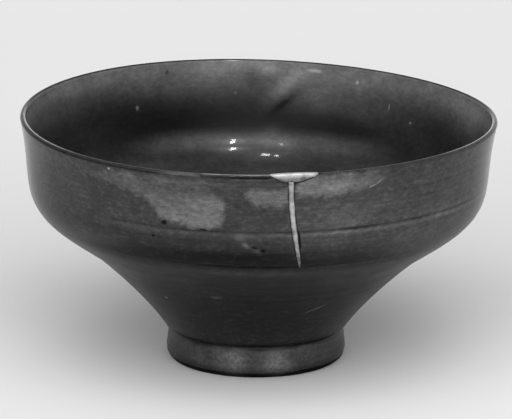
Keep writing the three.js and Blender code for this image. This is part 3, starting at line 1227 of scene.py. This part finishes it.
@dataclass(frozen=True)
class ThrownBody(Piece):
    """The wall and base, thrown as one and glazed."""

    relief: TurnedLines = TurnedLines()
    glaze: DarkGlaze = DarkGlaze()
    wet_glaze: DarkGlaze = DarkGlaze(
        "dark glossy glaze", level=0.05, coat=0.1, streaks=0.05, mottle=0.18, grit=0.3, speckle=0.003)
    outer_tone: OuterTone = OuterTone()
    inner_tone: InnerTone = InnerTone()
    lip_tone: LipTone = LipTone()
    underside_tone: float = 0.035
    row_pitch: float = 0.9
    row_gap: float = 0.12
    line_reach: float = 2.2
    line_rows: int = 9
    ledge_rows: int = 17
    lip_rows: int = 14
    inner_rows: int = 68
    coarse_turn: float = 1.06
    fine_turn: float = 0.33
    fine: Pair = (-2.0, 18.4)  # the azimuths of the mend
    outside: float = -20.0  # as deep in a pool as a place that no pool reaches
    gap_widening: Bell = Bell(50.4, 2.6, 0.6)  # where the painted shade beside the crack is wider
    unmended: float = 9.0  # as far from the lacquer as a place that isn't beside it
    outer_rough: ShadeTable = ShadeTable((9, 30, 42, 50, 66), (0.34, 0.32, 0.31, 0.19, 0.15))
    inner_rough: ShadeTable = ShadeTable((13, 30, 50, 66), (0.2, 0.22, 0.26, 0.34))
    # paler pools, partly painted reflections of two windows
    pools: Sequence[PalePoolAndReflection] = (
        PalePoolAndReflection(((-46.4, 64.4), (-42.3, 63.6), (-37.8, 63.0), (-35.1, 62.4), (-31.9, 62.0), (-28.6, 60.6),
                  (-26.0, 58.4), (-24.3, 55.8), (-22.4, 54.9), (-18.9, 54.3), (-14.7, 53.3), (-10.7, 53.1),
                  (-8.6, 54.3), (-7.9, 56.4), (-8.0, 60.6), (-9.6, 63.2), (-12.8, 66.2), (-20.8, 65.4),
                  (-26.2, 66.2), (-31.6, 66.8), (-40.3, 66.6)), 0.8, (-36, -21), 0.35, (64.2, 60.0), 0.25),
        PalePoolAndReflection(((-3.6, 63.4), (-2.4, 61.2), (0.4, 59.7), (4.6, 59.5), (6.6, 60.3), (7.4, 61.9),
                  (7.2, 64.9), (-2.6, 65.0)), 0.72),
        PalePoolAndReflection(((8.9, 62.3), (20.0, 62.6), (31.0, 64.6), (31.0, 68.2), (8.9, 68.4)), 1.0, (35, 17), 0.0),
    )
    # the dark streak at 10.05 degrees is painted shade beside the crack at the hip
    marks: Sequence[Mark] = each(
        Mark, (-22.96, 54.3, 0.95, 0.8, 0, 0.0), (-26.0, 49.9, 0.65, 0.55, 0, 0.0),
        (-12.9, 52.9, 1.15, 0.5, -10, 0.0), (-29.4, 14.2, 0.42, 0.36, 0, 0.006),
        (39.8, 26.9, 0.42, 0.36, 0, 0.006), (-37.4, 67.3, 0.55, 0.4, 0, 0.32),
        (-40.2, 24.5, 0.7, 0.45, 0, 0.16), (-15.2, 27.8, 2.2, 0.8, 12, 0.06, -0.2),
        (25.6, 22.6, 4.4, 0.22, 25, 0.09), (27.6, 64, 1.3, 0.3, 20, 0.22), (29.4, 65, 1.3, 0.24, 40, 0.2),
        (-4.2, 51.4, 2.2, 1.5, -10, 0.1, -0.2), (-2.9, 49.0, 1.9, 1.0, -30, 0.12, -0.2),
        (-0.2, 47.4, 2.2, 1.0, -20, 0.065, -0.3), (-0.8, 48.4, 1.0, 0.36, -18, 0.0),
        (1.42, 47.5, 0.95, 0.78, 0, 0.0), (-18.2, 46.8, 0.5, 0.42, 0, 0.0), (-8.6, 47, 0.5, 0.42, 0, 0.003),
        (10.05, 50.4, 3.0, 0.3, -80, 0.0, 0.7), (7.57, 66.85, 0.66, 0.3, 0, 0.42, 0.8))
    inner_marks: Sequence[Mark] = each(
        Mark, (153.4, 64.8, 0.6, 0.7, 0, 0.34), (142.8, 59.5, 0.3, 1.5, 0, 0.16),
        (134.6, 56.5, 0.65, 0.5, 0, 0.15), (-173.8, 59.7, 0.5, 0.6, 0, 0.09),
        (-155.4, 66.3, 0.7, 0.8, 0, 0.05), (-145.4, 57.2, 0.7, 0.9, 0, 0.12),
        (165.4, 66.8, 2.6, 0.7, 0, 0.42, 0.0), (-13.2, 68.5, 0.6, 0.35, -20, 0.0))

    def outer_rows(self, outer: Array) -> Array:
        """How far along the outer face its rows are: closer across the scored lines and the ledge.

        Args:
            outer: Points of the outer face.

        Returns:
            Distances in millimetres.
        """
        run = lengths(outer)
        ledge, spread = self.relief.ledge_rows
        lines = (*self.relief.lines, self.relief.lip_line)
        fine = [(line.middle, line.width, self.line_rows) for line in lines]
        fine.append((self.relief.ledge + ledge, spread, self.ledge_rows))
        places = [np.arange(0, run[-1], self.row_pitch)]
        for height, wide, count in fine:
            reach = self.line_reach * wide
            places.append(float(np.interp(height, outer[:, 1], run)) + np.linspace(-reach, reach, count))
        kept = np.unique(np.round(np.concatenate(places), 2))
        kept = kept[np.concatenate([[True], np.diff(kept) > self.row_gap])]
        return np.append(kept[kept < run[-1] - self.row_gap], run[-1])

    def sheet(self) -> Sheet:
        """The body's rows and columns, the columns closer together across the mend.

        Returns:
            The sheet.
        """
        under, outer, inner = self.form.underside(), self.form.outer(), self.form.inner()
        beneath = np.concatenate([np.linspace(1.5, self.form.spigot_radius, 9), lengths(under)[-3:-1]])
        over = np.linspace(0, math.pi * self.form.lip / 2, self.lip_rows)[1:-1]
        inside = lengths(inner)[-1] * (1 - np.linspace(1, 0, self.inner_rows) ** 1.15)
        parts = ((Face.UNDERSIDE, under, beneath), (Face.OUTER, outer, self.outer_rows(outer)),
                 (Face.LIP, self.form.rounding(), over), (Face.INNER, inner, inside[:-1]))
        points = np.vstack([walk(run, places) for _, run, places in parts])
        face = np.concatenate([np.full(len(places), kind.value) for kind, _, places in parts])
        start, end = self.fine
        count = round((360 - end + start) / self.coarse_turn)
        coarse = np.linspace(end, 360 + start, count, endpoint=False)
        azimuth = np.radians(np.concatenate([np.arange(start, end, self.fine_turn), coarse]))
        return Sheet(points, squares(points), face, azimuth)

    def notched(self, sheet: Sheet) -> Array:
        """The profile at each azimuth, cut down level where the chip is.

        Between the outer and the inner end of the cut, a point moves to the straight line across the
        wall at the height of the chip's edge, in proportion to its distance along the profile.

        Args:
            sheet: The body's rows and columns.

        Returns:
            Radius and height, shaped (rows, columns, 2).
        """
        run, points = lengths(sheet.points), sheet.points
        turn = sheet.azimuth - math.radians(self.mend.azimuth)
        across = np.where(np.cos(turn) > 0, (self.form.rim - self.form.lip / 2) * np.sin(turn), np.inf)
        cut = self.mend.chip_edge(across, 0.05)
        outer, inner = (np.flatnonzero(sheet.on(face)) for face in (Face.OUTER, Face.INNER))
        first, last = (np.interp(cut, points[rows, 1], run[rows]) for rows in (outer, inner[::-1]))
        start, end = (np.stack([np.interp(place, run, points[:, 0]), cut], -1) for place in (first, last))
        share = ((run[:, None] - first) / (last - first))[..., None]
        swap = (cut < self.form.height - 0.02)[:, None] & (share > 0) & (share < 1)
        return np.where(swap, start + share * (end - start), points[:, None, :])

    def thrown(self, sheet: Sheet) -> Array:
        """Points of the true bowl, with its relief: radius and height turned to each azimuth.

        Args:
            sheet: The body's rows and columns.

        Returns:
            Points, shaped (rows, columns, 3).
        """
        height, azimuth = sheet.height, sheet.azimuth
        depth = np.where(sheet.on(Face.OUTER), self.relief.outer(height, azimuth), 0)
        depth = np.where(sheet.on(Face.INNER), self.relief.rings.depth(height, azimuth), depth)
        section = self.notched(sheet) - depth[..., None] * sheet.square[:, None, :]
        return turned(section[..., 0], section[..., 1], azimuth)

    def shade(self, sheet: Sheet) -> Array:
        """How pale the glaze is at each point, from 0, black, to 1, white.

        Args:
            sheet: The body's rows and columns.

        Returns:
            Shades, shaped (rows, columns).
        """
        inner = self.inner_tone.at(sheet)
        outer = self.outer_tone.at(sheet, self.relief.as_level(sheet.height, sheet.turn))
        shade = np.where(sheet.on(Face.INNER), inner, outer)
        shade = np.where(sheet.on(Face.UNDERSIDE), self.underside_tone, shade)
        return self.lip_tone.lay(sheet, np.maximum(shade, 0), inner)

    def roughness(self, sheet: Sheet) -> Array:
        """How rough the glaze is: satin outside, more so below the hip on the front, and glossy inside.

        Args:
            sheet: The body's rows and columns.

        Returns:
            Roughness, shaped (rows, columns).
        """
        height, turn = sheet.height, sheet.turn
        under = soft_step(41.8, 40.6, self.relief.as_level(height, turn))
        dull = soft_step(54, 30, np.abs(turn)) * (soft_step(48, 45, height) - 0.65 * under)
        outside = self.outer_rough.at(height) + 0.3 * dull
        return np.where(sheet.on(Face.INNER), self.inner_rough.at(height), outside)

    def mend_gap(self, sheet: Sheet) -> Array:
        """Distance in millimetres from the nearest edge of the lacquer, on the mended side of the wall.

        Beside the chip it is the height below the chip's edge. Beside the crack it is the sideways
        distance from the crack's middle line, less half the seam's width, and less on the right of it
        at the hip, so that the painted shade along the lacquer is wider there.

        Args:
            sheet: The body's rows and columns.

        Returns:
            Distances, shaped (rows, columns), and a large one elsewhere.
        """
        height, turn = sheet.height, sheet.azimuth - math.radians(self.mend.azimuth)
        across = sheet.points[:, :1] * np.sin(turn)
        path = self.mend.crack_path(self.mend.outer_fall, 80)[::-1]
        low, high = path[0, 1], path[-1, 1]
        middle = np.interp(height, path[:, 1], path[:, 0])
        share = np.interp(height, path[:, 1], np.linspace(1, 0, len(path)))
        crack = np.abs(across - middle) - self.mend.crack_half(share) + 0.12
        crack = crack - self.gap_widening.at(height) * (across > middle)
        crack = np.where((height > low) & (height < high + 0.4), crack, self.unmended)
        beside = np.abs(across) < self.mend.chip_half + 0.4
        chip = np.where(beside, self.mend.chip_edge(across) - height, self.unmended)
        joined = (np.abs(across - self.mend.crack_top) < self.mend.seam_half) & (height > high)
        near = sheet.on(Face.OUTER) & (np.cos(turn) > 0) & ~joined
        return np.where(near, np.minimum(crack, chip), self.unmended)

    def pooled(self, sheet: Sheet) -> tuple[Array, Array]:
        """How deep each point lies in the pool that it is deepest in, and how strong that pool is there.

        Args:
            sheet: The body's rows and columns.

        Returns:
            Depths and strengths.
        """
        places = (sheet.turn, sheet.height)
        depths = np.stack([pool.depth(*places) for pool in self.pools])
        depth = np.where(sheet.on(Face.OUTER, Face.LIP), depths.max(0), self.outside)
        return depth, np.choose(depths.argmax(0), [pool.share(*places) for pool in self.pools])

    def build(self) -> Thing:
        """Builds and dresses the body.

        Returns:
            The body.
        """
        sheet = self.sheet()
        true = self.thrown(sheet)
        ends = np.array([[0, 0, self.form.spigot + self.form.recess], [0, 0, self.form.floor]])
        made = self.skinned("thrown_body", true, ends)
        depth, share = self.pooled(sheet)
        values = {
            "thrown_place": np.vstack([true.reshape(-1, 3), ends]),
            "glaze_shade": np.append(self.shade(sheet), [self.underside_tone, 0.03]),
            "glaze_rough": np.append(self.roughness(sheet), [0.5, 0.2]),
            "pale_depth": np.append(depth, [self.outside] * 2),
            "pale_share": np.append(share, [0.0, 0.0]),
            "mend_gap": np.append(self.mend_gap(sheet), [self.unmended] * 2),
        }
        dress(made, values, self.glaze.material(self.marks, self.form.outer()),
              self.wet_glaze.material(self.inner_marks, self.form.inner()[::-1]))
        wet = np.append(sheet.on(Face.LIP, Face.INNER)[:-1], [False, True])
        share_out(made, np.repeat(wet, len(sheet.azimuth)))
        return placed_on(made, "bowl_body")


# The foot


@dataclass(frozen=True)
class FootRing(Piece):
    """The turned foot ring: a bulged ring that is wider than the base it carries."""

    seat: float = 9.0
    stand: float = 22.6
    stand_bore: float = 18.6
    bulge: float = 24.95
    bulge_height: float = 3.4
    top: float = 23.9
    shoulder: float = 1.1
    bore: float = 17.9
    bore_top: float = 6.1
    chamfer: float = 0.7
    columns: int = 300
    outside: float = 20.0  # radius between the bore and the outer face
    scored: Pair = (0.2, 8.8)  # heights
    scores: Threads = Threads(((0.05, 1.9, 1, 0),))
    waver: Sequence[Trio] = (  # waves in a turn, start and size
        (7, 0.4, 0.22), (17, 1.0, 0.14), (31, 0, 0.08))
    # painted shade: black where the ring curves under at the bottom, and along its top where it meets the
    # body
    shade: ShadeTable = ShadeTable(
        (0, 1.1, 1.8, 3.0, 7.0, 7.9, 8.3, 8.8), (0.0, 0.0, 0.018, 0.044, 0.046, 0.042, 0.01, 0.0))
    bore_shade: float = 0.03
    # the first two clouds are painted highlights, window reflections on the ring's front; the next four ease
    # and deepen its painted shade towards the sides
    clouds: Sequence[Cloud] = each(
        Cloud, (-15.5, 5, 8, 3.2, 0.075), (13.5, 5, 8, 3.2, 0.075), (-76, 8.6, 18, 1.0, 0.015),
        (76, 8.6, 18, 1.0, 0.03), (-50, 2.6, 20, 0.9, -0.015), (50, 2.6, 20, 0.9, -0.015))
    edge_top: float = 1.5
    wash: FootWash = FootWash()
    # dull, so that the painted shade at the ring's bottom stays dark
    edge: FootWash = FootWash("foot edge in painted shade", level=0.03, gloss=(0.5, 0.65))

    def outline(self) -> Array:
        """The closed profile, from the ground's outer edge up, over and down the bore.

        Returns:
            Points of radius and height.
        """
        wide, shoulder = (self.bulge + self.top) / 2, self.seat - self.shoulder
        under = bow((self.stand, 0), (self.bulge, 0), (self.bulge, self.bulge_height), 14)
        flank = np.linspace((self.bulge, self.bulge_height), (wide, shoulder), 12)
        over = bow((wide, shoulder), (wide, self.seat), (self.top, self.seat), 9)
        bore = [(self.bore, self.seat), (self.bore, self.bore_top),
                (self.stand_bore - self.chamfer / 2, self.chamfer), (self.stand_bore, 0)]
        return np.vstack([under, flank[1:], over[1:], bore])

    def build(self) -> Thing:
        """Builds and dresses the ring.

        Returns:
            The ring.
        """
        points = self.outline()
        azimuth = np.linspace(0, TURN, self.columns, endpoint=False)
        radius, height = points[:, :1], points[:, 1:]
        low, high = self.scored
        outer = (radius > self.outside) & (height > low) & (height < high)
        scores = np.where(outer, self.scores.depth(height, azimuth), 0)
        true = turned(radius - scores, height, azimuth)
        made = self.skinned("turned_foot_ring", true)
        turn = signed(np.degrees(azimuth))
        # the painted shade along the top wavers, and the ring is painted darker towards its sides
        waver = sum(size * np.sin(count * azimuth + start) for count, start, size in self.waver)
        shade = self.shade.at(height + waver * lifted(0.4, soft_step(6, 7.4, height)))
        shade = np.maximum(shade + sum(cloud.at(turn, height) for cloud in self.clouds), 0)
        shade = shade * (1 - 0.5 * soft_step(38, 66, np.abs(turn)))
        shade = np.where(radius < self.outside, self.bore_shade, shade)
        values = {"thrown_place": true.reshape(-1, 3), "glaze_shade": shade.ravel()}
        dress(made, values, self.wash.material(), self.edge.material())
        share_out(made, np.repeat(points[:, 1] < self.edge_top, self.columns))
        return placed_on(made, "foot_ring")


# The lacquer mend


@dataclass(frozen=True)
class RimFill(Piece):
    """The lacquer that fills the chip and runs over the lip."""

    lacquer: Lacquer = Lacquer("pale fill lacquer", 0.4, 0.1)
    crown: float = 0.31
    proud: float = 0.11
    sunk: float = 0.12
    overlap: float = 0.16
    swell: float = 0.55
    side_swell: float = 0.35
    tips: float = 0.46 * math.pi  # the rows are spaced like sines up to this angle
    rows: int = 70
    around: int = 30
    through: int = 8

    def section(self) -> Array:
        """The wall's top: outer face, lip and inner face as one run of points.

        Returns:
            Points of radius and height.
        """
        outer, inner = self.form.outer(), self.form.inner()
        low = self.mend.top - 2 * self.mend.chip_depth
        sides = (face[face[:, 1] > low] for face in (outer[:-1], inner[1:]))
        return np.vstack([next(sides), self.form.rounding(), next(sides)])

    def build(self) -> Thing:
        """Builds and dresses the fill.

        Each row is one cut across the fill: it follows the wall from the chip's edge outside over the
        lip to the edge inside, raised by a share that is full in the middle and sinks into the wall at
        the edges, and then goes straight back through the wall. The rows lie closer towards both tips.

        Returns:
            The fill.
        """
        wall, crest = self.section(), self.mend.top
        run, peak = lengths(wall), int(wall[:, 1].argmax())
        tips = np.linspace(-self.tips, self.tips, self.rows)
        across = (self.mend.chip_half + 2 * self.overlap) * np.sin(tips) / math.sin(self.tips)
        edge = np.minimum(self.mend.chip_edge(across, self.overlap), crest - 0.03)[:, None]
        start = np.interp(edge, wall[:peak, 1], run[:peak])
        end = np.interp(edge, wall[peak:, 1][::-1], run[peak:][::-1])
        even = np.linspace(0, 1, self.around)
        place = start + (end - start) * (0.4 * even + 0.3 * (1 - np.cos(even * math.pi)))
        cut, out = walk(wall, place), rows_at(place, run, squares(wall))
        swell = soft_step(0.0, self.swell, np.minimum(place - start, end - place))
        side = np.sqrt(np.clip(1 - (across / self.mend.chip_half) ** 2, 0, 1))[:, None]
        rise = -self.sunk + (self.sunk + self.proud) * swell * soft_step(0.0, self.side_swell, side)
        top = soft_step(crest - 1.6, crest - 0.1, cut[..., 1])
        cut = cut + out * rise[..., None]
        cut[..., 1] += self.crown * top * side**1.5
        back = np.linspace(1, 0, self.through)[1:-1, None]
        cut = np.concatenate([cut, cut[:, :1] + (cut[:, -1:] - cut[:, :1]) * back], axis=1)
        true = self.mend.lay(across[:, None], cut[..., 0], cut[..., 1])
        made = self.skinned("lacquer_rim_fill", true, true[[0, -1]].mean(1))
        # painted highlight: the fill is brightest near the crest and darker down its faces
        left = soft_step(crest - 1.4, crest - 0.2, true[..., 2])
        dress(made, {"lacquer_wear_and_sheen": np.append(left, [0.5, 0.5])}, self.lacquer.material())
        return placed_on(made, "rim_chip_fill")


@dataclass(frozen=True)
class CrackSeam(Piece):
    """A low bead of lacquer laid along the crack on one face of the wall."""

    face: Face = Face.OUTER
    lacquer: Lacquer = Lacquer("pale seam lacquer", 0.46, 0.1)
    proud: float = 0.24
    depth: float = 0.3
    run_out: float = 0.05  # share of the length over which the end rounds off
    rows: int = 120
    around: int = 28

    def build(self) -> Thing:
        """Builds and dresses the seam.

        Each row is one cut across the bead at a place on the crack's middle line: half an ellipse that
        stands out of the wall and a flatter one sunk into it. The bead's width wavers a little, and it
        is laid on the wall by turning its sideways distance into an azimuth.

        Returns:
            The seam.
        """
        outside = self.face is Face.OUTER
        wall = self.form.outer() if outside else self.form.inner()[::-1]
        path = self.mend.crack_path(self.mend.outer_fall if outside else self.mend.inner_fall, self.rows)
        share = np.linspace(0, 1, self.rows)[:, None]
        waver = 1 + 0.05 * np.sin(share * 23 + 0.6) + 0.03 * np.sin(share * 57 + 2.1)
        half = self.mend.crack_half(share) * waver * np.sqrt(np.clip((1.004 - share) / self.run_out, 0, 1))
        angle = np.linspace(0, TURN, self.around, endpoint=False)
        across, up = np.cos(angle), np.sin(angle)
        full = np.clip(half / self.mend.seam_half, 0.15, 1) ** 0.5
        lift = up * np.where(up > 0, self.proud, self.depth) * full
        beside = path[:, None] + (half * across)[..., None] * squares(path)[:, None]
        side, height = beside[..., 0], beside[..., 1]
        out = rows_at(height, wall[:, 1], squares(wall) * (1 if outside else -1))
        radius = np.interp(height, wall[:, 1], wall[:, 0]) + out[..., 0] * lift
        true = self.mend.lay(side, radius, height + out[..., 1] * lift)
        made = self.skinned(f"lacquer_seam_{self.face.name.lower()}", true, true[[0, -1]].mean(1))
        worn = uneven(0.5, share * 23 + 1.0, share * 9) * soft_step(1.0, 0.6, share)
        # painted highlight on the bead's crest, a little to the left, and painted shade on its flanks
        left = worn * lifted(0.25, np.abs(up) ** 1.3) * (1 - 0.2 * across)
        dress(made, {"lacquer_wear_and_sheen": np.append(left, [0.5, 0.0])}, self.lacquer.material())
        return placed_on(made, f"crack_seam_{self.face.name.lower()}")


# The room


def direction(azimuth: float, elevation: float) -> Vector:
    """The unit direction at an azimuth and an elevation in degrees."""
    turn, rise = math.radians(azimuth), math.radians(elevation)
    return Vector((math.sin(turn) * math.cos(rise), -math.cos(turn) * math.cos(rise), math.sin(rise)))


@dataclass(frozen=True)
class Lamp:
    """A small window two metres from the bowl, which only shows as a glint in the glossy inside."""

    name: str
    azimuth: float
    elevation: float
    sides: Pair
    radiance: float
    distance: float = 2.0
    aim: Trio = (0, 0.055, 0.045)

    def build(self) -> Thing:
        """Hangs the lamp.

        Returns:
            The lamp.
        """
        light = bpy.data.lights.new(self.name, "AREA")
        light.shape = "RECTANGLE"
        light.size, light.size_y = self.sides
        light.energy = self.radiance * math.pi * self.sides[0] * self.sides[1]
        made = shown(self.name, light)
        made.visible_diffuse = False
        way = direction(self.azimuth, self.elevation)
        made.location = Vector(self.aim) + self.distance * way
        side = (Vector((1, 0, 0)) - way * way.x).normalized()
        made.rotation_euler = Matrix((side, way.cross(side), way)).transposed().to_euler()
        return made


@dataclass(frozen=True)
class Glow:
    """A broad soft glow of the room, from an azimuth and an elevation in degrees."""

    azimuth: float
    elevation: float
    tightness: float
    strength: float


@dataclass(frozen=True)
class Studio:
    """A pale floor with a painted shadow behind the bowl, soft light and the camera. Its lengths are metres.
    """

    floor_noise: Pattern = Pattern(6, 2, 0.5)
    floor_shades: Pair = (0.785, 0.8)
    floor_near: Pair = (0.08, 0.0)
    floor_far: Pair = (0.12, 0.3)
    floor_painted_light: Pair = (0.155, 0.06)
    floor_radius: float = 4.0
    floor_rings: int = 30
    floor_columns: int = 96
    lamps: Sequence[Lamp] = each(
        Lamp, ("upper window", 20.5, 55.5, (0.06, 0.3), 250), ("high window", 38, 74.5, (0.06, 0.3), 250),
        ("long top window", -22.4, 86.6, (0.09, 0.07), 150),
        ("small top window", -65, 85, (0.04, 0.06), 150), ("dim window", -17.7, 60, (0.05, 0.2), 60))
    glows: Sequence[Glow] = each(
        Glow, (0, 35, 5.0, 1.1), (0, 55, 5.0, 2.1), (-45, 35, 5.0, 0.15), (-125, 4, 6.0, 0.35),
        (125, 4, 6.0, 0.75), (180, 4, 6.0, 0.9))
    plain_light: float = 0.02
    camera_place: Trio = (-0.0007, -1.3369, 0.4067)
    pitch: float = 15.27  # degrees down
    roll: float = 0.0037  # radians
    lens: float = 350.4  # millimetres, like the sensor
    sensor: float = 36.0

    def floor(self) -> Thing:
        """The floor: a round sheet, its rings of points spaced by the square of their number.

        Returns:
            The floor.
        """
        radius = np.linspace(0.05, 1, self.floor_rings)[:, None] ** 2 * self.floor_radius
        azimuth = np.linspace(0, TURN, self.floor_columns, endpoint=False)
        points = np.vstack([turned(radius, np.zeros(1), azimuth).reshape(-1, 3), np.zeros(3)])
        number = np.arange(len(points) - 1).reshape(self.floor_rings, self.floor_columns)
        around, middle = bands(number[:-1], number[1:]), fan(number.size, number[0])
        made = meshed("paper_floor", points, around[:, ::-1].tolist() + middle[:, ::-1].tolist())
        p = Painter(bpy.data.materials.new("pale paper"))
        place = p.objects()
        depth = p.node("ShaderNodeSeparateXYZ", {0: place}).outputs["Y"]
        # painted light and shadow: the floor is paler in front of the bowl and far behind it, leaving a
        # darker band just behind it
        near = p.span(depth, self.floor_near, (0.0, self.floor_painted_light[0]), smooth=True)
        far = p.span(depth, self.floor_far, (0.0, self.floor_painted_light[1]), smooth=True)
        tone = p.added(p.added(near, far), p.span(self.floor_noise.on(p, place), MIDDLE, self.floor_shades))
        made.data.materials.append(p.finish(Base_Color=tone, Roughness=0.9))
        return made

    def sky(self) -> None:
        """The room's light: a plain level all round and broad soft glows from a few sides.

        A glow's strength falls with the angle from its middle: e to the power of its tightness times the
        cosine of that angle less 1.
        """
        bpy.context.scene.world = bpy.data.worlds.new("soft room")
        p = Painter(bpy.context.scene.world, "Background")
        way = p.node("ShaderNodeTexCoord", {}).outputs["Generated"]
        total: Socket | float = self.plain_light
        for glow in self.glows:
            ends = {0: way, 1: direction(glow.azimuth, glow.elevation)}
            cosine = p.node("ShaderNodeVectorMath", ends, operation="DOT_PRODUCT").outputs["Value"]
            near = p.worked("EXPONENT", p.times(p.worked("SUBTRACT", cosine, 1.0), glow.tightness))
            total = p.added(p.times(near, glow.strength), total)
        p.finish(Color=(1, 1, 1, 1), Strength=total)

    def camera(self) -> Thing:
        """The camera, where the rim's and the foot's outlines in the photograph put it.

        Returns:
            The camera.
        """
        lens = bpy.data.cameras.new("camera")
        lens.lens, lens.sensor_width = self.lens, self.sensor
        made = shown("camera", lens)
        tilt = Euler((math.radians(90 - self.pitch), 0, 0)).to_matrix() @ Matrix.Rotation(self.roll, 3, "Z")
        made.matrix_world = Matrix.Translation(self.camera_place) @ tilt.to_4x4()
        bpy.context.scene.camera = made
        return made

    def build(self) -> None:
        """Builds the room."""
        self.floor()
        self.sky()
        self.camera()
        for lamp in self.lamps:
            lamp.build()
        bpy.context.scene.view_settings.view_transform = "Standard"


def main() -> None:
    """Builds the bowl and its room."""
    logging.basicConfig(level=logging.INFO, format="%(name)s %(message)s")
    seams = (CrackSeam(face=face) for face in (Face.OUTER, Face.INNER))
    for piece in (ThrownBody(), FootRing(), RimFill(), *seams):
        piece.build()
    Studio().build()


if __name__ == "__main__":
    main()
